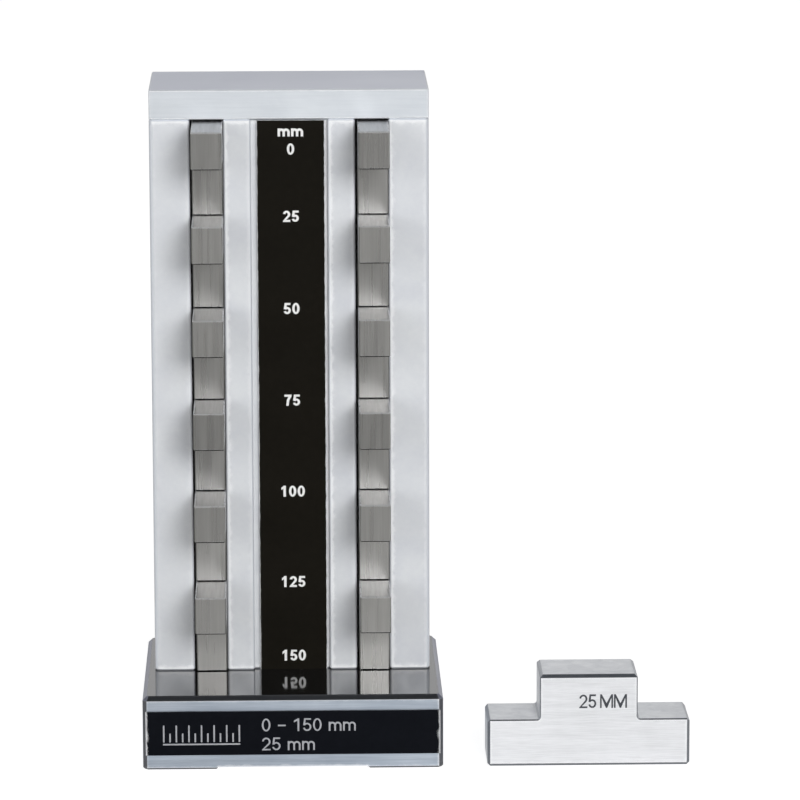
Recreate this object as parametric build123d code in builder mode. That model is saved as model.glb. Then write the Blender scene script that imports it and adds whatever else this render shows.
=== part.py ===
from build123d import *
import os

# A depth micrometer checker on a lapped base, with its loose 25 mm riser block beside it.
# The origin is the centre of the base's underside. X runs to the right, Y from the front
# to the back and Z up. All sizes are in millimetres.

os.makedirs("parts", exist_ok=True)

# Base: a ground steel bar with a lapped top, standing on two lands
base_width = 80.0
base_depth = 68.0
base_height = 20.0
base_top_chamfer = 1.2
base_corner_chamfer = 1.1
base_foot_chamfer = 0.5
relief_width = 39.6
relief_depth = 0.7

# Column body: an aluminium bar, flush with the back of the base, with two slots and a groove
column_width = 74.5
column_depth = 39.0
column_corner_radius = 1.2
column_edge_chamfer = 0.4
slot_mouth_radius = 0.6
groove_width = 20.4
groove_depth = 1.5

# Stacks: ledge blocks and shorter spacer blocks in turn, each stack towards its slot's right
step_height = 25.0
ledge_thickness = 10.0
ledge_pairs = 6
block_width = 8.2
block_chamfer = 0.3
slot_from_column_side = 15.25
spacer_depth = 20.0
spacer_proud = 1.2
ledge_reach = 20.0
slot_left_clearance = 0.6
slot_right_clearance = 0.1

# Guide bars: a key in the back of each slot, on which every block of the stack is notched
guide_width = 3.0
guide_in_column = 2.0
guide_in_blocks = 2.0
guide_top_gap = 1.0
notch_side_clearance = 0.1
notch_back_clearance = 0.2

# Cap: an aluminium plate over the column body, a hair above the stacks
cap_height = 8.0
cap_chamfer = 0.3
cap_stack_gap = 0.5

# Pressure pads and their bowed springs, which press each stack down from the cap
pad_width = 7.6
pad_depth = 14.0
pad_thickness = 3.0
pad_pocket_clearance = 0.4
spring_width = 6.0
spring_length = 12.0
spring_thickness = 0.5
spring_bow = 0.8

# Tie bolts: from the underside of the base, through the column body, into the cap
tie_bolt_diameter = 5.0
tie_head_diameter = 8.5
tie_head_height = 5.0
tie_key_size = 4.0
tie_key_depth = 2.5
tie_bore_clearance = 0.2
tie_counterbore_clearance = 0.5
tie_counterbore_depth = 7.5
tie_thread_in_cap = 6.0
tie_washer_thickness = 1.0
tie_from_column_side = 5.25
tie_from_column_front = 8.0
tie_from_column_back = 10.0

# Dowel pins at the foot and at the head of the column body
dowel_diameter = 4.0
dowel_length = 12.0
dowel_in_cap = 5.0
dowel_in_base = 6.0
dowel_spacing = 20.0
dowel_from_column_back = 10.0
dowel_chamfer = 0.4

# Scale strip in the groove, and the nameplate on the front of the base
strip_side_gap = 1.15
strip_thickness = 0.8
strip_shift = 0.4
plate_side_gap = 0.8
plate_height = 11.9
plate_thickness = 0.6
plate_above_floor = 4.1

# Riser block: a T that slides in under a pair of ledges, its stem level with their tops
riser_overhang = 0.9
riser_stem_side_gap = 4.85
riser_shoulder_gap = 2.2
riser_depth = 18.0
riser_top_chamfer = 0.85
riser_chamfer = 0.75
riser_fine_chamfer = 0.3
riser_inner_radius = 0.8
riser_beside_base = 11.8
riser_behind_front = 0.5

# Places worked out from the sizes above
stack_height = ledge_pairs * step_height
spacer_thickness = step_height - ledge_thickness
stack_top_z = base_height + stack_height
cap_z = stack_top_z + cap_stack_gap
back_y = base_depth / 2
column_front_y = back_y - column_depth
spacer_front_y = column_front_y - spacer_proud
ledge_front_y = spacer_front_y - ledge_reach
stack_back_y = spacer_front_y + spacer_depth
slot_width = slot_left_clearance + block_width + slot_right_clearance
slot_spacing = column_width - 2 * slot_from_column_side
slot_x = {"left": -slot_spacing / 2, "right": slot_spacing / 2}
stack_x = {side: x + (slot_left_clearance - slot_right_clearance) / 2 for side, x in slot_x.items()}
pad_y = spacer_front_y + spacer_depth / 2
pad_top_z = stack_top_z + pad_thickness
pocket_roof_z = pad_top_z + spring_bow + spring_thickness
tie_rows_y = (column_front_y + tie_from_column_front, back_y - tie_from_column_back)
tie_x = column_width / 2 - tie_from_column_side
tie_spots = [(x, y) for x in (-tie_x, tie_x) for y in tie_rows_y]
tie_head_top_z = tie_counterbore_depth - tie_washer_thickness
tie_head_foot_z = tie_head_top_z - tie_head_height
dowel_spots = [(x, back_y - dowel_from_column_back) for x in (-dowel_spacing / 2, dowel_spacing / 2)]
strip_width = groove_width - 2 * strip_side_gap
plate_width = base_width - 2 * plate_side_gap
riser_height = step_height
riser_shoulder_height = spacer_thickness - riser_shoulder_gap
riser_width = slot_spacing + block_width + 2 * riser_overhang
riser_stem_width = slot_spacing - block_width - 2 * riser_stem_side_gap
riser_x = base_width / 2 + riser_beside_base + riser_width / 2
riser_front_y = riser_behind_front - base_depth / 2

FRONT_CENTRE = (Align.CENTER, Align.MIN)
BACK_CENTRE = (Align.CENTER, Align.MAX)


def looking_down(spots, z):
    """Locations at one height from which a hole runs downwards."""
    return [Location((x, y, z)) for x, y in spots]


def looking_up(spots, z):
    """Locations at one height from which a hole runs upwards."""
    return [Location((x, y, z), (180, 0, 0)) for x, y in spots]


# Base. Its cross-section, seen from the front, is a bar relieved underneath between two lands.
with BuildPart() as base:
    with BuildSketch(Plane.XZ.offset(-back_y)):
        Rectangle(base_width, base_height, align=FRONT_CENTRE)
        Trapezoid(relief_width + 2 * relief_depth, relief_depth, 45, align=FRONT_CENTRE,
                  mode=Mode.SUBTRACT)
    extrude(amount=base_depth)
    chamfer(base.edges().filter_by(Axis.Z), base_corner_chamfer)
    chamfer(base.faces().sort_by(Axis.Z)[-1].edges(), base_top_chamfer)
    foot_edges = base.edges().group_by(Axis.Z)[0]
    chamfer(foot_edges.filter_by(lambda edge: abs(edge.center().X) > relief_width / 2 + relief_depth),
            base_foot_chamfer)
    with Locations(*looking_up(tie_spots, 0)):
        CounterBoreHole(tie_bolt_diameter / 2 + tie_bore_clearance,
                        tie_head_diameter / 2 + tie_counterbore_clearance,
                        tie_counterbore_depth)
    with Locations(*looking_down(dowel_spots, base_height)):
        Hole(dowel_diameter / 2, dowel_in_base)
base.part.label = "base"
export_step(base.part, "parts/base.step")

# Column body. One plan profile drawn out upwards: a slot and a keyway for each stack, and
# a shallow groove for the scale strip between them.
with BuildPart() as column_body:
    with BuildSketch(Plane.XY.offset(base_height)) as column_plan:
        with Locations((0, column_front_y)):
            Rectangle(column_width, column_depth, align=FRONT_CENTRE)
            Rectangle(groove_width, groove_depth, align=FRONT_CENTRE, mode=Mode.SUBTRACT)
        with Locations(*[(x, stack_back_y) for x in slot_x.values()]):
            Rectangle(slot_width, spacer_depth, align=BACK_CENTRE, mode=Mode.SUBTRACT)
        with Locations(*[(x, stack_back_y) for x in stack_x.values()]):
            Rectangle(guide_width, guide_in_column, align=FRONT_CENTRE, mode=Mode.SUBTRACT)
        outer_corners = column_plan.vertices().filter_by(lambda v: abs(v.X) > column_width / 2 - 0.01)
        fillet(outer_corners, column_corner_radius)
        front_corners = column_plan.vertices().group_by(Axis.Y)[0]
        fillet(front_corners.filter_by(lambda v: abs(v.X) < column_width / 2 - 2 * column_corner_radius),
               slot_mouth_radius)
    extrude(amount=cap_z - base_height)
    chamfer(column_body.faces().sort_by(Axis.Z)[0].edges(), column_edge_chamfer)
    chamfer(column_body.faces().sort_by(Axis.Z)[-1].edges(), column_edge_chamfer)
    with Locations(*looking_down(tie_spots, cap_z)):
        Hole(tie_bolt_diameter / 2 + tie_bore_clearance)
    with Locations(*looking_up(dowel_spots, base_height)):
        Hole(dowel_diameter / 2, dowel_length - dowel_in_base)
    with Locations(*looking_down(dowel_spots, cap_z)):
        Hole(dowel_diameter / 2, dowel_length - dowel_in_cap)
column_body.part.label = "column_body"
export_step(column_body.part, "parts/column_body.step")

# Cap. A plate with every edge broken, tapped for the tie bolts and pocketed for the pads.
with BuildPart() as cap:
    with BuildSketch(Plane.XY.offset(cap_z)):
        with Locations((0, column_front_y)):
            Rectangle(column_width, column_depth, align=FRONT_CENTRE)
    extrude(amount=cap_height)
    chamfer(cap.edges(), cap_chamfer)
    with BuildSketch(Plane.XY.offset(cap_z)):
        with Locations(*[(x, pad_y) for x in stack_x.values()]):
            Rectangle(pad_width + 2 * pad_pocket_clearance, pad_depth + 2 * pad_pocket_clearance)
    extrude(amount=pocket_roof_z - cap_z, mode=Mode.SUBTRACT)
    with Locations(*looking_up(tie_spots, cap_z)):
        Hole(tie_bolt_diameter / 2, tie_thread_in_cap)
    with Locations(*looking_up(dowel_spots, cap_z)):
        Hole(dowel_diameter / 2, dowel_in_cap)
cap.part.label = "cap"
export_step(cap.part, "parts/cap.step")


def stack_block(name, x, front_y, foot_z, thickness):
    """One block of a stack: every edge broken, and a notch in its back for the guide bar."""
    with BuildPart() as block:
        with BuildSketch(Plane.XY.offset(foot_z)):
            with Locations((x, stack_back_y)):
                Rectangle(block_width, stack_back_y - front_y, align=BACK_CENTRE)
        extrude(amount=thickness)
        chamfer(block.edges(), block_chamfer)
        with BuildSketch(Plane.XY.offset(foot_z)):
            with Locations((x, stack_back_y)):
                Rectangle(guide_width + 2 * notch_side_clearance,
                          guide_in_blocks + notch_back_clearance, align=BACK_CENTRE)
        extrude(amount=thickness, mode=Mode.SUBTRACT)
    block.part.label = name
    export_step(block.part, f"parts/{name}.step")


# Stacks. From the top, each step is a ledge block over a shorter spacer block.
for side, x in stack_x.items():
    for step in range(ledge_pairs):
        ledge_foot_z = stack_top_z - step * step_height - ledge_thickness
        spacer_foot_z = ledge_foot_z - spacer_thickness
        stack_block(f"{side}_ledge_block_{step + 1}", x, ledge_front_y, ledge_foot_z, ledge_thickness)
        stack_block(f"{side}_spacer_block_{step + 1}", x, spacer_front_y, spacer_foot_z, spacer_thickness)

# Guide bars. A square-cut key in the back of each slot, standing on the base.
for side, x in stack_x.items():
    with BuildPart() as guide_bar:
        with BuildSketch(Plane.XY.offset(base_height)):
            with Locations((x, stack_back_y + guide_in_column)):
                Rectangle(guide_width, guide_in_column + guide_in_blocks, align=BACK_CENTRE)
        extrude(amount=stack_height - guide_top_gap)
    guide_bar.part.label = f"{side}_guide_bar"
    export_step(guide_bar.part, f"parts/{side}_guide_bar.step")

# Pressure pads. A flat steel pad on top of each stack, inside the cap's pocket.
for side, x in stack_x.items():
    with BuildPart() as pressure_pad:
        with BuildSketch(Plane.XY.offset(stack_top_z)):
            with Locations((x, pad_y)):
                Rectangle(pad_width, pad_depth)
        extrude(amount=pad_thickness)
        chamfer(pressure_pad.edges(), block_chamfer)
    pressure_pad.part.label = f"{side}_pressure_pad"
    export_step(pressure_pad.part, f"parts/{side}_pressure_pad.step")

# Pad springs. A bowed strip whose ends stand on the pad and whose crown bears on the cap.
for side, x in stack_x.items():
    spring_side = Plane(origin=(x - spring_width / 2, pad_y, pad_top_z), x_dir=(0, 1, 0), z_dir=(1, 0, 0))
    half = spring_length / 2
    with BuildPart() as pad_spring:
        with BuildSketch(spring_side):
            with BuildLine():
                ThreePointArc((-half, 0), (0, spring_bow), (half, 0))
                Line((half, 0), (half, spring_thickness))
                ThreePointArc((half, spring_thickness), (0, spring_bow + spring_thickness),
                              (-half, spring_thickness))
                Line((-half, spring_thickness), (-half, 0))
            make_face()
        extrude(amount=spring_width)
    pad_spring.part.label = f"{side}_pad_spring"
    export_step(pad_spring.part, f"parts/{side}_pad_spring.step")

# Tie bolts. Long socket head bolts: head in the base, thread in the cap.
with BuildPart() as tie_bolts:
    with BuildSketch(Plane.XY.offset(tie_head_foot_z)):
        with Locations(*tie_spots):
            Circle(tie_head_diameter / 2)
    extrude(amount=tie_head_height)
    with BuildSketch(Plane.XY.offset(tie_head_top_z)):
        with Locations(*tie_spots):
            Circle(tie_bolt_diameter / 2)
    extrude(amount=cap_z + tie_thread_in_cap - tie_head_top_z)
    with BuildSketch(Plane.XY.offset(tie_head_foot_z)):
        with Locations(*tie_spots):
            RegularPolygon(tie_key_size / 2, 6, major_radius=False)
    extrude(amount=tie_key_depth, mode=Mode.SUBTRACT)
tie_bolts.part.label = "tie_bolts"
export_step(tie_bolts.part, "parts/tie_bolts.step")

# Tie washers. A spring washer between each tie bolt's head and the base.
with BuildPart() as tie_washers:
    with BuildSketch(Plane.XY.offset(tie_head_top_z)):
        with Locations(*tie_spots):
            Circle(tie_head_diameter / 2)
            Circle(tie_bolt_diameter / 2 + tie_bore_clearance, mode=Mode.SUBTRACT)
    extrude(amount=tie_washer_thickness)
tie_washers.part.label = "tie_washers"
export_step(tie_washers.part, "parts/tie_washers.step")

# Dowels. Ground pins across the joint at the foot of the column body, and at its head.
dowel_feet = {"foot_dowels": base_height - dowel_in_base, "head_dowels": cap_z + dowel_in_cap - dowel_length}
for dowel_name, dowel_foot_z in dowel_feet.items():
    with BuildPart() as dowels:
        with BuildSketch(Plane.XY.offset(dowel_foot_z)):
            with Locations(*dowel_spots):
                Circle(dowel_diameter / 2)
        extrude(amount=dowel_length)
        chamfer(dowels.edges().group_by(Axis.Z)[0], dowel_chamfer)
        chamfer(dowels.edges().group_by(Axis.Z)[-1], dowel_chamfer)
    dowels.part.label = dowel_name
    export_step(dowels.part, f"parts/{dowel_name}.step")

# Scale strip. Stuck to the floor of the groove, from the base up.
with BuildPart() as scale_strip:
    with BuildSketch(Plane.XZ.offset(-(column_front_y + groove_depth))):
        with Locations((strip_shift, base_height)):
            Rectangle(strip_width, stack_height, align=FRONT_CENTRE)
    extrude(amount=strip_thickness)
scale_strip.part.label = "scale_strip"
export_step(scale_strip.part, "parts/scale_strip.step")

# Nameplate. A thin plate on the front face of the base, reaching a little over its chamfers.
with BuildPart() as nameplate:
    with BuildSketch(Plane.XZ.offset(back_y)):
        with Locations((0, plate_above_floor)):
            Rectangle(plate_width, plate_height, align=FRONT_CENTRE)
    extrude(amount=plate_thickness)
nameplate.part.label = "nameplate"
export_step(nameplate.part, "parts/nameplate.step")

# Riser block. A T profile with every outer edge chamfered: most along the stem's top, least
# along the shoulders and the stem's sides.
with BuildPart() as riser_block:
    with BuildSketch(Plane.XZ.offset(-riser_front_y)) as riser_profile:
        with Locations((riser_x, 0)):
            Rectangle(riser_width, riser_shoulder_height, align=FRONT_CENTRE)
            Rectangle(riser_stem_width, riser_height, align=FRONT_CENTRE)
        shoulder_corners = riser_profile.vertices().group_by(Axis.Y)[1]
        fillet(shoulder_corners.filter_by(lambda v: abs(v.X - riser_x) < riser_width / 2 - 0.01),
               riser_inner_radius)
    extrude(amount=-riser_depth)

    def at_foot_or_side(edge):
        """Whether an edge lies round the block's foot or at one of its two sides."""
        reach = abs(edge.center().X - riser_x)
        return edge.center().Z < 0.01 or reach > riser_width / 2 - 0.01

    def beside_stem(edge):
        """Whether an edge lies between the shoulders' tops and the stem's top chamfer."""
        below_top = riser_height - riser_top_chamfer - 0.01
        return riser_shoulder_height - 0.01 < edge.center().Z < below_top

    chamfer(riser_block.faces().sort_by(Axis.Z)[-1].edges(), riser_top_chamfer)
    chamfer(riser_block.edges().filter_by(at_foot_or_side), riser_chamfer)
    end_outlines = riser_block.faces().filter_by(Axis.Y).edges()
    chamfer(end_outlines.filter_by(beside_stem), riser_fine_chamfer)
riser_block.part.label = "riser_block"
export_step(riser_block.part, "parts/riser_block.step")
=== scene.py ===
import bmesh
import bpy
import math
from mathutils import Matrix, Vector


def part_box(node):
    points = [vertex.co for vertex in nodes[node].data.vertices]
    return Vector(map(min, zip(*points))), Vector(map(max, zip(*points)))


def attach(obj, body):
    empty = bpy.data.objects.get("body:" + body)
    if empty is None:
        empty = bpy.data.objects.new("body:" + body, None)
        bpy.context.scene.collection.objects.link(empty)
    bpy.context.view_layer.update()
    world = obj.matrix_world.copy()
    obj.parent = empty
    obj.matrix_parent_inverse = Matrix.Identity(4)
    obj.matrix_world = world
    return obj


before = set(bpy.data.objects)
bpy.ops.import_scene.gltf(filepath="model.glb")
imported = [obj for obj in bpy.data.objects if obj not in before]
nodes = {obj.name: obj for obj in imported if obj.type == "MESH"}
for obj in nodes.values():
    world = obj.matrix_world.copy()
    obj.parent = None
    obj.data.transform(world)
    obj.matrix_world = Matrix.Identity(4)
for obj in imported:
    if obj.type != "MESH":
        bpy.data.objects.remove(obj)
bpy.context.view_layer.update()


# The base is a bar of hardened steel. Its sides are ground along their length, its top is
# lapped to a mirror so that gauge blocks wring to it, and every corner is broken with a
# coarser chamfer. The chamfers' dark colours, which differ by the way each slants, are painted
# reflection and shade, and the lapped top is given a near-black colour that dims its mirror
# image, which is painted shade.
def add(tree, kind, joined=(), **settings):
    """A node with its settings, each input joined to another node's output or given a value."""
    node = tree.nodes.new(kind if kind.startswith("NodeGroup") else "ShaderNode" + kind)
    for name, value in settings.items():
        setattr(node, name, value)
    for socket, value in dict(joined).items():
        if isinstance(value, bpy.types.NodeSocket):
            tree.links.new(value, node.inputs[socket])
        else:
            node.inputs[socket].default_value = value
    return node


def scaled(tree, value, low, high, at_low=0.0, at_high=1.0):
    """A value stretched from one range to another, and held inside it."""
    inputs = {"Value": value, "From Min": low, "From Max": high, "To Min": at_low, "To Max": at_high}
    return add(tree, "MapRange", inputs).outputs["Result"]


def sum_of(tree, first, second, operation="ADD"):
    """Two values put together by one operation, held between 0 and 1."""
    return add(tree, "Math", {0: first, 1: second}, operation=operation, use_clamp=True).outputs[0]


def mixed(tree, share, first, second):
    """A colour between two others."""
    return add(tree, "Mix", {0: share, 6: first, 7: second}, data_type="RGBA").outputs[2]


def new_group(name, takes, gives):
    """An empty node group with named sockets, and the nodes for its entry and its exit."""
    tree = bpy.data.node_groups.new(name, "ShaderNodeTree")
    for label, kind in takes:
        tree.interface.new_socket(name=label, in_out="INPUT", socket_type="NodeSocket" + kind)
    for label in gives:
        tree.interface.new_socket(name=label, in_out="OUTPUT", socket_type="NodeSocketFloat")
    return tree, add(tree, "NodeGroupInput"), add(tree, "NodeGroupOutput")


def face_lie_group():
    """Masks by the way a face lies on the piece: a slanted broken edge, a face that looks up, and
    a slant that looks up, up and to one side, or down."""
    tree, entry, leave = new_group(
        "face_lie", [], ["Broken Edge", "Upward", "Slants Up", "Slants Sideways", "Slants Down"])
    lie = add(tree, "TexCoord").outputs["Normal"]
    size = add(tree, "VectorMath", {0: lie}, operation="ABSOLUTE")
    axes = add(tree, "SeparateXYZ", {0: size.outputs[0]})
    steepest = sum_of(tree, axes.outputs[0], axes.outputs[1], "MAXIMUM")
    steepest = sum_of(tree, steepest, axes.outputs[2], "MAXIMUM")
    tree.links.new(scaled(tree, steepest, 0.98, 0.9), leave.inputs["Broken Edge"])
    height = add(tree, "SeparateXYZ", {0: lie}).outputs[2]
    tree.links.new(scaled(tree, height, 0.9, 0.98), leave.inputs["Upward"])
    slants_up = scaled(tree, height, 0.3, 0.5)
    tree.links.new(slants_up, leave.inputs["Slants Up"])
    sideways = sum_of(tree, slants_up, scaled(tree, axes.outputs[0], 0.3, 0.5), "MULTIPLY")
    tree.links.new(sideways, leave.inputs["Slants Sideways"])
    tree.links.new(scaled(tree, height, -0.3, -0.5), leave.inputs["Slants Down"])
    return tree


def ground_lines_group():
    """The marks of grinding or brushing: fine lines and wider streaks, drawn out by Stretch."""
    tree, entry, leave = new_group("ground_lines", [("Stretch", "Vector"), ("Start", "Float")],
                                   ["Lines", "Streaks"])
    spot = add(tree, "TexCoord").outputs["Object"]
    drawn = add(tree, "VectorMath", {0: spot, 1: entry.outputs["Stretch"]}, operation="MULTIPLY")
    shifted = add(tree, "VectorMath", {0: drawn.outputs[0], 1: entry.outputs["Start"]},
                  operation="ADD")
    fine = add(tree, "TexNoise", {"Vector": shifted.outputs[0], "Scale": 1.0, "Detail": 3.0,
                                  "Roughness": 0.65})
    wide = add(tree, "TexNoise", {"Vector": shifted.outputs[0], "Scale": 0.23, "Detail": 2.0})
    tree.links.new(scaled(tree, fine.outputs[0], 0.3, 0.7), leave.inputs["Lines"])
    tree.links.new(scaled(tree, wide.outputs[0], 0.3, 0.7), leave.inputs["Streaks"])
    return tree


def handled_haze_group():
    """The faint cloudiness of metal that is wiped and handled, with patches of the given size."""
    tree, entry, leave = new_group("handled_haze", [("Patches Per Metre", "Float")], ["Haze"])
    spot = add(tree, "TexCoord").outputs["Object"]
    cloud = add(tree, "TexNoise", {"Vector": spot, "Scale": entry.outputs[0], "Detail": 4.0,
                                   "Roughness": 0.55, "Distortion": 0.6})
    tree.links.new(scaled(tree, cloud.outputs[0], 0.32, 0.68), leave.inputs["Haze"])
    return tree


def edge_glint_group():
    """A painted highlight: a bright uneven hairline along a sharp edge, on edges that look left,
    that look right, and that run level. Outermost is the share of it kept on the piece's own
    left side."""
    tree, entry, leave = new_group("edge_glint", [("Reach", "Float"), ("Outermost", "Float")],
                                   ["Leftward", "Rightward", "Level"])
    spot = add(tree, "TexCoord")
    glint_unevenness = add(tree, "TexNoise", {"Vector": spot.outputs["Object"], "Scale": 420.0, "Detail": 3.0})
    uneven = scaled(tree, glint_unevenness.outputs[0], 0.3, 0.7, 0.5, 1.4)
    radius = add(tree, "Math", {0: entry.outputs["Reach"], 1: uneven}, operation="MULTIPLY")
    rounded = add(tree, "Bevel", {"Radius": radius.outputs[0]}, samples=8)
    flat = add(tree, "NewGeometry").outputs["Normal"]
    match = add(tree, "VectorMath", {0: rounded.outputs[0], 1: flat}, operation="DOT_PRODUCT")
    glint = scaled(tree, match.outputs["Value"], 0.999, 0.985)
    turn = add(tree, "VectorMath", {0: rounded.outputs[0], 1: flat}, operation="SUBTRACT")
    across = add(tree, "SeparateXYZ", {0: turn.outputs[0]})
    up = add(tree, "Math", {0: across.outputs[2]}, operation="ABSOLUTE")
    along = add(tree, "SeparateXYZ", {0: spot.outputs["Generated"]}).outputs[0]
    kept = scaled(tree, along, 0.03, 0.07, entry.outputs["Outermost"])
    leftward = sum_of(tree, kept, scaled(tree, across.outputs[0], -0.02, -0.1), "MULTIPLY")
    for label, lean in (("Leftward", leftward),
                        ("Rightward", scaled(tree, across.outputs[0], 0.02, 0.1)),
                        ("Level", scaled(tree, up.outputs[0], 0.02, 0.1))):
        tree.links.new(sum_of(tree, glint, lean, "MULTIPLY"), leave.inputs[label])
    return tree


FACE_LIE, GROUND_LINES = face_lie_group(), ground_lines_group()
HANDLED_HAZE, EDGE_GLINT = handled_haze_group(), edge_glint_group()
MM = 0.001


def worked_metal(name, dull, bright, stretch, edge, rough, edge_up=None, edge_side=None,
                 edge_down=None, line_share=0.6, haze_size=45.0, line_depth=0.006 * MM,
                 metallic=1.0, glint=(0.25, 0.25, 0.25), glint_reach=0.25 * MM, outermost=1.0,
                 start=0.0):
    """A metal between two colours, with its grain, the haze of use on it, and its broken edges
    coloured by their slant as painted reflection and shade. The glint is how bright a painted
    highlight is along its sharp edges that look left, that look right and that run level."""
    material = bpy.data.materials.new(name)
    material.use_nodes = True
    tree = material.node_tree
    shader = tree.nodes["Principled BSDF"]
    lines = add(tree, "Group", node_tree=GROUND_LINES)
    lines.inputs["Stretch"].default_value = stretch
    lines.inputs["Start"].default_value = start
    haze = add(tree, "Group", node_tree=HANDLED_HAZE)
    haze.inputs["Patches Per Metre"].default_value = haze_size
    lie = add(tree, "Group", node_tree=FACE_LIE)
    rim = add(tree, "Group", node_tree=EDGE_GLINT)
    rim.inputs["Reach"].default_value = glint_reach
    rim.inputs["Outermost"].default_value = outermost
    marks = add(tree, "Mix", {0: line_share, 2: haze.outputs["Haze"], 3: lines.outputs["Lines"]})
    colour = mixed(tree, marks.outputs[0], (*dull, 1), (*bright, 1))
    glinting = 0.0
    for label, strength in zip(("Leftward", "Rightward", "Level"), glint):
        glinting = sum_of(tree, glinting, sum_of(tree, rim.outputs[label], strength, "MULTIPLY"))
    glint_colour = (0.97, 0.98, 1.0, 1)
    # The glint colour is a painted highlight along the sharp edges.
    colour = mixed(tree, glinting, colour, glint_colour)
    # Broken edges take a colour by the way they slant: painted reflection and shade.
    slant = mixed(tree, lie.outputs["Slants Up"], (*edge, 1), (*(edge_up or edge), 1))
    slant = mixed(tree, lie.outputs["Slants Sideways"], slant, (*(edge_side or edge_up or edge), 1))
    slant = mixed(tree, lie.outputs["Slants Down"], slant, (*(edge_down or edge), 1))
    colour = mixed(tree, lie.outputs["Broken Edge"], colour, slant)
    tree.links.new(colour, shader.inputs["Base Color"])
    tree.links.new(scaled(tree, lines.outputs["Streaks"], 0, 1, *rough), shader.inputs["Roughness"])
    bump = add(tree, "Bump", {"Height": lines.outputs["Lines"], "Distance": line_depth})
    tree.links.new(bump.outputs[0], shader.inputs["Normal"])
    if metallic:
        tree.links.new(scaled(tree, glinting, 0, 1, metallic, 0.1), shader.inputs["Metallic"])
    return material


def finish_node(node_name, material):
    """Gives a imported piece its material."""
    mesh = nodes[node_name].data
    mesh.materials.clear()
    mesh.materials.append(material)


LEVEL_GRAIN = (70, 70, 2600)

# Its chamfers are coloured by slant as painted reflection and shade, and its edges carry a painted
# highlight.
lapped_steel = worked_metal(
    "lapped_steel", dull=(0.38, 0.44, 0.52), bright=(0.58, 0.64, 0.72), stretch=LEVEL_GRAIN,
    edge=(0.15, 0.155, 0.17), edge_up=(0.09, 0.095, 0.105), edge_side=(0.23, 0.24, 0.30),
    rough=(0.28, 0.42), metallic=0.95, glint=(0.2, 0.6, 0.45), glint_reach=0.9 * MM)
base_tree = lapped_steel.node_tree
base_shader = base_tree.nodes["Principled BSDF"]
base_lie = add(base_tree, "Group", node_tree=FACE_LIE).outputs["Upward"]
side_colour = base_shader.inputs["Base Color"].links[0].from_socket
side_rough = base_shader.inputs["Roughness"].links[0].from_socket
# The lapped top's near-black colour dims its mirror image: painted shade.
lapped_top_painted_shade, lapped_rough = (0.11, 0.11, 0.112, 1), 0.07
base_tree.links.new(mixed(base_tree, base_lie, side_colour, lapped_top_painted_shade),
                    base_shader.inputs["Base Color"])
lapped = add(base_tree, "Mix", {0: base_lie, 2: side_rough, 3: lapped_rough})
base_tree.links.new(lapped.outputs[0], base_shader.inputs["Roughness"])
finish_node("base", lapped_steel)

# The column body is an aluminium bar, milled with its slots and groove and then anodised
# clear: a pale satin skin without a grain, a little cloudy, with painted highlights along its
# edges.
satin_aluminium = worked_metal(
    "satin_aluminium", dull=(0.64, 0.66, 0.70), bright=(0.74, 0.76, 0.78), stretch=(900, 900, 900),
    edge=(0.72, 0.75, 0.80), rough=(0.45, 0.6), line_share=0.25, haze_size=60.0, metallic=0.3,
    line_depth=0.002 * MM, glint=(1.0, 0.3, 0.9), glint_reach=2.2 * MM, outermost=0.12)
finish_node("column_body", satin_aluminium)

# The blocks of the stacks are hardened steel, surface-ground with the grain upright. Each
# pair, left and right, has its own brightness, partly a real difference in tone and partly
# painted reflection that changes with the block's height, and each row's tops are lightened
# or darkened as painted light. Each ledge block stands out 20 mm past the spacer block under it.
UPRIGHT_GRAIN = (2400, 2400, 75)
BACKWARD_GRAIN = (1500, 60, 1500)


def block_steel(name, tone, painted_top_light, start):
    """Ground steel of one pair's tones: grain upright on its front, drawn back along its top,
    whose brightness is painted light.
    """
    # Up-slanting broken edges are pale and down-slanting ones dark: painted highlight and painted
    # shade.
    material = worked_metal(
        name, dull=(0.35 * tone, 0.345 * tone, 0.332 * tone),
        bright=(0.42 * tone, 0.415 * tone, 0.4 * tone), stretch=UPRIGHT_GRAIN,
        edge=(0.30, 0.30, 0.285), edge_up=(0.45, 0.45, 0.455), edge_down=(0.12, 0.12, 0.115),
        rough=(0.25, 0.32), haze_size=35.0, line_depth=0.004 * MM, glint=(0.1, 0.1, 0.3),
        start=start)
    tree = material.node_tree
    shader = tree.nodes["Principled BSDF"]
    lie = add(tree, "Group", node_tree=FACE_LIE)
    front_colour = shader.inputs["Base Color"].links[0].from_socket
    front_rough = shader.inputs["Roughness"].links[0].from_socket
    drawn_back = add(tree, "Group", node_tree=GROUND_LINES)
    drawn_back.inputs["Stretch"].default_value = BACKWARD_GRAIN
    drawn_back.inputs["Start"].default_value = start
    # The top's colour, scaled for its row, is painted light.
    top_colour = mixed(tree, drawn_back.outputs["Lines"],
                       (0.34 * painted_top_light, 0.34 * painted_top_light, 0.352 * painted_top_light, 1),
                       (0.52 * painted_top_light, 0.52 * painted_top_light, 0.539 * painted_top_light, 1))
    tree.links.new(mixed(tree, lie.outputs["Upward"], front_colour, top_colour),
                   shader.inputs["Base Color"])
    top_rough = 0.3
    wrung = add(tree, "Mix", {0: lie.outputs["Upward"], 2: front_rough, 3: top_rough})
    tree.links.new(wrung.outputs[0], shader.inputs["Roughness"])
    # Up-slanting broken edges lose their metal sheen, so their pale colour shows as a painted
    # highlight.
    top_chamfer_highlight = sum_of(tree, lie.outputs["Slants Up"], lie.outputs["Broken Edge"], "MULTIPLY")
    tree.links.new(scaled(tree, top_chamfer_highlight, 0, 1, 1.0, 0.2), shader.inputs["Metallic"])
    return material


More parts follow.
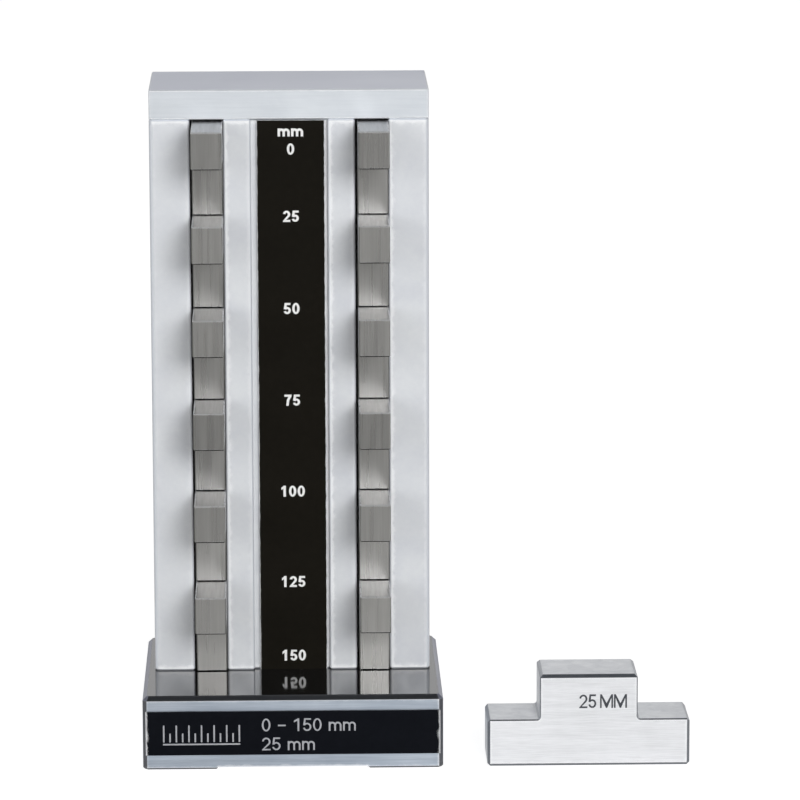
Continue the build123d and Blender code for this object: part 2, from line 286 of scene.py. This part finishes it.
# Each pair's brightness is partly real tone and partly painted reflection; each row's top brightness
# is painted light.
tones = {"ledge": (0.77, 0.95, 1.0, 0.83, 0.97, 1.04),
         "spacer": (0.90, 0.94, 0.99, 0.98, 1.19, 1.08)}
painted_top_lights = (0.62, 0.80, 0.55, 0.57, 0.65, 0.52)
for kind, kind_tones in tones.items():
    for number, (tone, painted_top_light) in enumerate(zip(kind_tones, painted_top_lights), start=1):
        grain_start = 7.3 * number + len(kind)
        steel = block_steel(f"{kind}_steel_{number}", tone, painted_top_light, grain_start)
        for side in ("left", "right"):
            finish_node(f"{side}_{kind}_block_{number}", steel)

# The guide bars, pressure pads and pad springs hold each stack from behind and above. They
# are drawn or rolled steel, seen only when the piece is taken apart.
rolled_steel = worked_metal(
    "rolled_steel", dull=(0.22, 0.22, 0.22), bright=(0.34, 0.34, 0.34), stretch=UPRIGHT_GRAIN,
    edge=(0.2, 0.2, 0.2), rough=(0.3, 0.45))
for name in nodes:
    if "guide_bar" in name or "pressure_pad" in name or "pad_spring" in name:
        finish_node(name, rolled_steel)

# The cap is an aluminium plate over the column, brushed lightly along its length before it
# was anodised, with every edge broken and carrying a painted highlight. Its top is given a
# paler, bluer colour than its front: painted light.
cap_aluminium = worked_metal(
    "cap_aluminium", dull=(0.59, 0.625, 0.665), bright=(0.70, 0.735, 0.77), stretch=(60, 60, 1500),
    edge=(0.75, 0.78, 0.82), rough=(0.38, 0.5), line_share=0.4, haze_size=70.0, metallic=0.4,
    line_depth=0.003 * MM, glint=(0.5, 0.5, 1.0), glint_reach=0.4 * MM)
cap_tree = cap_aluminium.node_tree
cap_shader = cap_tree.nodes["Principled BSDF"]
cap_side_colour = cap_shader.inputs["Base Color"].links[0].from_socket
cap_up = add(cap_tree, "Group", node_tree=FACE_LIE).outputs["Upward"]
cap_haze = add(cap_tree, "Group", node_tree=HANDLED_HAZE)
cap_haze.inputs["Patches Per Metre"].default_value = 30.0
# The top's paler, bluer colour is painted light.
cap_top_painted_light = mixed(cap_tree, cap_haze.outputs[0], (0.74, 0.77, 0.875, 1), (0.78, 0.81, 0.91, 1))
cap_tree.links.new(mixed(cap_tree, cap_up, cap_side_colour, cap_top_painted_light),
                   cap_shader.inputs["Base Color"])
finish_node("cap", cap_aluminium)

# The tie bolts hold cap, column body and base together from below. They and their washers are
# blacked steel, and the dowels, which keep the three in line, are bright ground pins.
blacked_steel = worked_metal(
    "blacked_steel", dull=(0.012, 0.012, 0.013), bright=(0.03, 0.03, 0.032), stretch=(700, 700, 700),
    edge=(0.06, 0.06, 0.065), rough=(0.35, 0.5), metallic=0.9)
pin_steel = worked_metal(
    "pin_steel", dull=(0.45, 0.46, 0.48), bright=(0.6, 0.61, 0.63), stretch=LEVEL_GRAIN,
    edge=(0.4, 0.4, 0.42), rough=(0.2, 0.3))
for name, material in {"tie_bolts": blacked_steel, "tie_washers": blacked_steel,
                       "foot_dowels": pin_steel, "head_dowels": pin_steel}.items():
    finish_node(name, material)

# The scale strip is thin aluminium anodised black, glued into the groove, with its numbers
# printed in white beside the ledges that they stand for.
strip_black = worked_metal(
    "strip_black", dull=(0.0065, 0.0055, 0.0035), bright=(0.0095, 0.008, 0.0055),
    stretch=(500, 500, 500), edge=(0.3, 0.3, 0.3), rough=(0.4, 0.5), metallic=0.0,
    line_depth=0.001 * MM, glint=(0.9, 0.9, 0.0), glint_reach=0.3 * MM)
strip_black.node_tree.nodes["Principled BSDF"].inputs["Specular IOR Level"].default_value = 0.05
finish_node("scale_strip", strip_black)


def arc(centre, radii, start, end, steps=9):
    """Points along part of an ellipse, from one angle in degrees to another."""
    angles = [math.radians(start + (end - start) * step / steps) for step in range(steps + 1)]
    return [(centre[0] + radii[0] * math.cos(turn), centre[1] + radii[1] * math.sin(turn))
            for turn in angles]


def characters(pen):
    """Plain block characters 1 unit high, with strokes as wide as the pen: the width of each, and
    its closed outlines, of which an inner one is a hole."""
    bar = 0.85 * pen
    wide, half = 0.65, 0.325
    zero = [arc((half, 0.5), (half, 0.5), 0, 350, 35),
            arc((half, 0.5), (half - pen, 0.5 - bar), 0, 350, 35)]
    stem = 0.46
    one = [[(stem - pen, 0), (stem, 0), (stem, 1), (stem - 0.8 * pen, 1), (0.06, 0.82),
            (0.06, 0.82 - pen), (stem - pen, 0.97 - 1.1 * pen)]]
    bowl = (half, 0.67)
    two = [arc(bowl, (half, half), 172, -38)
           + [(1.35 * pen, bar), (0.65, bar), (0.65, 0), (0, 0), (0, 0.4 * pen)]
           + arc(bowl, (half - pen, half - bar), -38, 172)]
    belly = (0.32, half)
    shoulder = math.degrees(math.acos((pen - 0.27) / half))
    five = [[(0.1, 1), (0.61, 1), (0.61, 1 - bar), (0.09 + 0.9 * pen, 1 - bar)]
            + arc(belly, (half, half), shoulder, -165)
            + arc(belly, (half - pen, half - bar), -165, 145) + [(0.02, 0.46)]]
    seven = [[(0.02, 1), (0.65, 1), (0.65, 1 - 0.75 * pen), (0.46, 0.5), (0.17 + pen, 0), (0.17, 0),
              (0.46 - 1.05 * pen, 0.5), (0.65 - 1.3 * pen, 1 - bar), (0.02, 1 - bar)]]
    dash = [[(0.04, 0.4), (0.62, 0.4), (0.62, 0.4 + bar), (0.04, 0.4 + bar)]]

    small_height, pitch = 0.71, 0.42
    inner = (pitch - pen) / 2
    outer = inner + pen
    arch_foot = small_height - outer
    first, second = (outer, arch_foot), (outer + pitch, arch_foot)
    leave_stem = math.degrees(math.acos(-inner / outer))
    meet = math.degrees(math.acos(pitch / 2 / outer))
    small_m = [[(0, 0), (0, small_height), (pen, small_height)]
               + arc(first, (outer, outer), leave_stem, meet)
               + arc(second, (outer, outer), 180 - meet, 0)
               + [(pen + 2 * pitch, 0), (2 * pitch, 0)] + arc(second, (inner, inner), 0, 180)
               + [(pen + pitch, 0), (pitch, 0)] + arc(first, (inner, inner), 0, 180) + [(pen, 0)]]
    breadth, slope, thin = 0.94, 0.85 * pen, 0.78 * pen
    middle = breadth / 2
    large_m = [[(0, 0), (0, 1), (slope, 1), (middle, 0.35), (breadth - slope, 1), (breadth, 1),
                (breadth, 0), (breadth - thin, 0), (breadth - thin, 0.74), (middle + 0.3 * pen, 0),
                (middle - 0.3 * pen, 0), (thin, 0.74), (thin, 0)]]
    return {"0": (wide, zero), "1": (0.62, one), "2": (wide, two), "5": (wide, five),
            "7": (wide, seven), "-": (wide, dash), "m": (2 * pitch + pen, small_m),
            "M": (breadth, large_m), " ": (0.3, [])}


def printed(name, lines, pen, face_y, colour, shapes=(), gap=0.07, thickness=0.03 * MM):
    """Characters, and plain shapes, printed on a face that looks to the front, as one mesh. Each
    line is its text, left end or middle, foot, height, squeeze across and whether it is centred."""
    known = characters(pen)
    outlines = list(shapes)
    for text, x, z, height, squeeze, centred in lines:
        scale = height * squeeze
        length = sum(known[letter][0] + gap for letter in text) - gap
        cursor = x - scale * length / 2 if centred else x
        for letter in text:
            width, parts = known[letter]
            outlines += [[(cursor + scale * across, z + height * up) for across, up in part]
                         for part in parts]
            cursor += scale * (width + gap)
    curve = bpy.data.curves.new(name, "CURVE")
    curve.dimensions = "2D"
    curve.fill_mode = "BOTH"
    curve.extrude = thickness / 2
    for outline in outlines:
        spline = curve.splines.new("POLY")
        spline.points.add(len(outline) - 1)
        spline.use_cyclic_u = True
        for point, (across, up) in zip(spline.points, outline):
            point.co = (across, up, 0, 1)
    drawing = bpy.data.objects.new(name, curve)
    bpy.context.scene.collection.objects.link(drawing)
    bpy.context.view_layer.update()
    filled = drawing.evaluated_get(bpy.context.evaluated_depsgraph_get())
    whole = bpy.data.meshes.new_from_object(filled)
    bpy.data.objects.remove(drawing)
    upright = Matrix.Rotation(math.radians(90), 4, "X")
    whole.transform(Matrix.Translation((0, face_y - thickness / 2, 0)) @ upright)
    welded = bmesh.new()
    welded.from_mesh(whole)
    bmesh.ops.remove_doubles(welded, verts=welded.verts, dist=thickness / 100)
    welded.to_mesh(whole)
    welded.free()
    whole.materials.clear()
    whole.materials.append(colour)
    piece = bpy.data.objects.new(name, whole)
    bpy.context.scene.collection.objects.link(piece)
    return piece


def ink(name, colour, worn):
    """Print with a slightly uneven coat."""
    material = bpy.data.materials.new(name)
    material.use_nodes = True
    tree = material.node_tree
    shader = tree.nodes["Principled BSDF"]
    haze = add(tree, "Group", node_tree=HANDLED_HAZE)
    haze.inputs["Patches Per Metre"].default_value = 900.0
    tree.links.new(mixed(tree, haze.outputs[0], (*worn, 1), (*colour, 1)),
                   shader.inputs["Base Color"])
    tree.links.new(scaled(tree, haze.outputs[0], 0, 1, 0.65, 0.5), shader.inputs["Roughness"])
    return material


strip_low, strip_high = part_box("scale_strip")
strip_front = strip_low.y
strip_middle = (strip_low.x + strip_high.x) / 2
number_height, number_pen, number_gap = 3.05 * MM, 0.22, 0.11
ledge_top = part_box("left_ledge_block_1")[1].z
base_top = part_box("base")[1].z
step = 25 * MM
number_drop, unit_drop, zero_drop, last_rise = 2.2 * MM, 4.2 * MM, 9.1 * MM, 2.3 * MM
white_ink = ink("white_ink", (0.95, 0.95, 0.94), (0.86, 0.86, 0.85))
feet = {str(25 * index): ledge_top - step * index - number_drop for index in range(1, 6)}
feet |= {"mm": ledge_top - unit_drop, "0": ledge_top - zero_drop, "150": base_top + last_rise}
numbers = [(word, strip_middle, foot, number_height, 1, True) for word, foot in feet.items()]
scale_numbers = printed("scale_numbers", numbers, number_pen, strip_front, white_ink, gap=number_gap)
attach(scale_numbers, "tower")

# The nameplate is a thin anodised plate, blue-black, glued to the front of the base. It
# carries only the range and the step, and a plain rule of ticks.
# Its bright ends are a painted highlight.
plate_black = worked_metal(
    "plate_black", dull=(0.003, 0.0037, 0.006), bright=(0.005, 0.006, 0.009),
    stretch=(500, 500, 500), edge=(0.5, 0.5, 0.5), rough=(0.35, 0.45), metallic=0.0,
    line_depth=0.001 * MM, glint=(0.8, 0.7, 0.0), glint_reach=1.0 * MM)
plate_black.node_tree.nodes["Principled BSDF"].inputs["Specular IOR Level"].default_value = 0.05
finish_node("nameplate", plate_black)
silver_ink = ink("silver_ink", (0.46, 0.47, 0.50), (0.38, 0.39, 0.42))
plate_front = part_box("nameplate")[0].y
words_left, upper_foot, lower_foot, word_height = -8.3 * MM, 10.5 * MM, 5.3 * MM, 3.5 * MM
word_pen, word_gap = 0.13, 0.12
rule_left, rule_foot, rule_length = -34.6 * MM, 6.9 * MM, 20.5 * MM
rule_line, short_tick, long_tick = 0.4 * MM, 2.4 * MM, 4.6 * MM
ticks = 13


def upright_bar(left, foot, width, height):
    """A rectangle's outline."""
    right, top = left + width, foot + height
    return [(left, foot), (right, foot), (right, top), (left, top)]


rule = [upright_bar(rule_left, rule_foot, rule_length, rule_line)]
for tick in range(ticks):
    tick_left = rule_left + (rule_length - rule_line) * tick / (ticks - 1)
    tick_height = short_tick if tick % 2 else long_tick
    rule.append(upright_bar(tick_left, rule_foot + 2 * rule_line, rule_line, tick_height))
measuring_range = ("0 - 150 mm", words_left, upper_foot, word_height, 1, False)
one_step = ("25 mm", words_left, lower_foot, word_height, 1, False)
plate_words = printed("plate_words", [measuring_range, one_step], word_pen, plate_front,
                      silver_ink, shapes=rule, gap=word_gap)
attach(plate_words, "tower")

# The riser block is a loose T of bright hardened steel, ground along its length, with its
# corners broken by a chamfer and its height engraved on the stem and filled black. The
# chamfers' darker colours, which differ by the way each slants, are painted reflection and
# shade, and its edges carry a painted highlight. Its lapped top has a paler, bluer colour of
# its own: a real lapped finish, with painted light in its colour.
bright_steel = worked_metal(
    "bright_steel", dull=(0.72, 0.73, 0.75), bright=(0.92, 0.93, 0.955), stretch=(160, 160, 5200),
    edge=(0.215, 0.23, 0.255), edge_up=(0.10, 0.11, 0.125), edge_down=(0.225, 0.24, 0.265),
    edge_side=(0.46, 0.48, 0.52), rough=(0.32, 0.42), line_share=0.65, metallic=0.6,
    glint=(0.9, 0.9, 0.9), glint_reach=1.2 * MM)
riser_tree = bright_steel.node_tree
riser_shader = riser_tree.nodes["Principled BSDF"]
riser_side_colour = riser_shader.inputs["Base Color"].links[0].from_socket
riser_up = add(riser_tree, "Group", node_tree=FACE_LIE).outputs["Upward"]
bloom = add(riser_tree, "Group", node_tree=HANDLED_HAZE)
bloom.inputs["Patches Per Metre"].default_value = 260.0
# The lapped top's paler, bluer colour is partly painted light over its real lapped finish.
lapped_top_painted_light = mixed(riser_tree, bloom.outputs[0], (0.75, 0.77, 0.81, 1), (0.90, 0.92, 0.95, 1))
riser_tree.links.new(mixed(riser_tree, riser_up, riser_side_colour, lapped_top_painted_light),
                     riser_shader.inputs["Base Color"])
finish_node("riser_block", bright_steel)
riser_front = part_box("riser_block")[0].y
black_ink = ink("black_ink", (0.02, 0.024, 0.032), (0.045, 0.05, 0.062))
mark_foot, mark_height, mark_pen = 15.85 * MM, 3.75 * MM, 0.15
digits = ("25", 76.25 * MM, mark_foot, mark_height, 0.89, False)
letters = ("MM", 81.8 * MM, mark_foot, mark_height, 0.98, False)
riser_words = printed("riser_words", [digits, letters], mark_pen, riser_front, black_ink)
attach(riser_words, "riser")

# The room: a plain white floor, a white sweep around it under a dim ceiling, a low bright
# window behind the camera, and two softboxes: the key lamp to the camera's right and a wider,
# weaker one to its left.
floor_mesh = bpy.data.meshes.new("floor")
reach = 4.0
corners = [(-reach, -reach, 0), (reach, -reach, 0), (reach, reach, 0), (-reach, reach, 0)]
floor_mesh.from_pydata(corners, [], [(0, 1, 2, 3)])
floor = bpy.data.objects.new("floor", floor_mesh)
bpy.context.scene.collection.objects.link(floor)
floor_paint = bpy.data.materials.new("floor_paint")
floor_paint.use_nodes = True
floor_tree = floor_paint.node_tree
floor_shader = floor_tree.nodes["Principled BSDF"]
floor_shader.inputs["Base Color"].default_value = (0.45, 0.45, 0.45, 1)
floor_shader.inputs["Roughness"].default_value = 0.9
floor_shader.inputs["Specular IOR Level"].default_value = 0.0
floor_shader.inputs["Emission Color"].default_value = (1, 1, 1, 1)


def seen_directly(tree, by_glossy):
    """How far a surface shows itself to the camera, in a mirror or through glass, not as a lamp."""
    path = add(tree, "LightPath")
    mirrored = sum_of(tree, path.outputs["Is Glossy Ray"], by_glossy, "MULTIPLY")
    seen = sum_of(tree, path.outputs["Is Camera Ray"], mirrored, "MAXIMUM")
    return sum_of(tree, seen, path.outputs["Is Transmission Ray"], "MAXIMUM")


spot = add(floor_tree, "SeparateXYZ", {0: add(floor_tree, "TexCoord").outputs["Object"]})
near_object = sum_of(floor_tree, scaled(floor_tree, spot.outputs[1], -0.45, -0.1, 0.0, 0.5),
                     scaled(floor_tree, spot.outputs[0], -0.06, 0.06, 0.7, 1.2), "MULTIPLY")
floor_glow = 0.88
glow = add(floor_tree, "Math", {0: seen_directly(floor_tree, near_object), 1: floor_glow},
           operation="MULTIPLY")
floor_tree.links.new(glow.outputs[0], floor_shader.inputs["Emission Strength"])
floor_mesh.materials.append(floor_paint)

world = bpy.data.worlds.new("studio")
bpy.context.scene.world = world
world.use_nodes = True
sky = world.node_tree
background = sky.nodes["Background"]
direction = add(sky, "SeparateXYZ", {0: add(sky, "TexCoord").outputs["Generated"]})
wall_level, ceiling_level, window_level, soft_level = 0.85, 0.14, 1.3, 0.58
wall = scaled(sky, direction.outputs[2], 0.25, 0.9, wall_level, ceiling_level)
towards_front = scaled(sky, direction.outputs[1], -0.5, -0.85)
low_down = sum_of(sky, scaled(sky, direction.outputs[2], 0.38, 0.28),
                  scaled(sky, direction.outputs[2], 0.05, 0.13), "MULTIPLY")
window = sum_of(sky, towards_front, low_down, "MULTIPLY")
lit_wall = add(sky, "Mix", {0: window, 2: wall, 3: window_level}).outputs[0]
path = add(sky, "LightPath")
soft_share = add(sky, "Math", {0: lit_wall, 1: soft_level}, operation="MULTIPLY").outputs[0]
lighting = add(sky, "Mix", {0: path.outputs["Is Glossy Ray"], 2: soft_share, 3: lit_wall})
level = add(sky, "Mix", {0: path.outputs["Is Camera Ray"], 2: lighting.outputs[0], 3: 1.0})
sky.links.new(level.outputs[0], background.inputs["Strength"])
background.inputs["Color"].default_value = (1, 1, 1, 1)


def softbox(name, place, size, watts):
    """A square softbox that faces the middle of the object."""
    middle = Vector((0.03, 0, 0.09))
    lamp = bpy.data.lights.new(name, "AREA")
    lamp.size = size
    lamp.energy = watts
    box = bpy.data.objects.new(name, lamp)
    bpy.context.scene.collection.objects.link(box)
    box.location = place
    aim = middle - Vector(place)
    box.rotation_mode = "QUATERNION"
    box.rotation_quaternion = aim.to_track_quat("-Z", "Y")


softbox("key_softbox", (0.65, -2.25, 0.95), 0.9, 32.5)
softbox("fill_softbox", (-1.8, -1.6, 0.8), 1.3, 12.0)

# The camera stands where the photograph's did: its place, turn and lens were fitted to the
# edges of the object in the photograph.
camera = bpy.data.objects.new("camera", bpy.data.cameras.new("camera"))
bpy.context.scene.collection.objects.link(camera)
camera.data.sensor_width = 36.0
camera.data.lens = 227.48
camera.data.clip_start = 0.05
camera.data.clip_end = 50.0
camera_place = (-1.256 * MM, -1338.43 * MM, 353.19 * MM)
camera_pan, camera_tilt, camera_roll = -1.3155, -10.985, -0.154
camera.matrix_world = (Matrix.Translation(camera_place)
                       @ Matrix.Rotation(math.radians(camera_pan), 4, "Z")
                       @ Matrix.Rotation(math.radians(90 + camera_tilt), 4, "X")
                       @ Matrix.Rotation(math.radians(camera_roll), 4, "Z"))
bpy.context.scene.camera = camera
bpy.context.scene.view_settings.view_transform = "Standard"
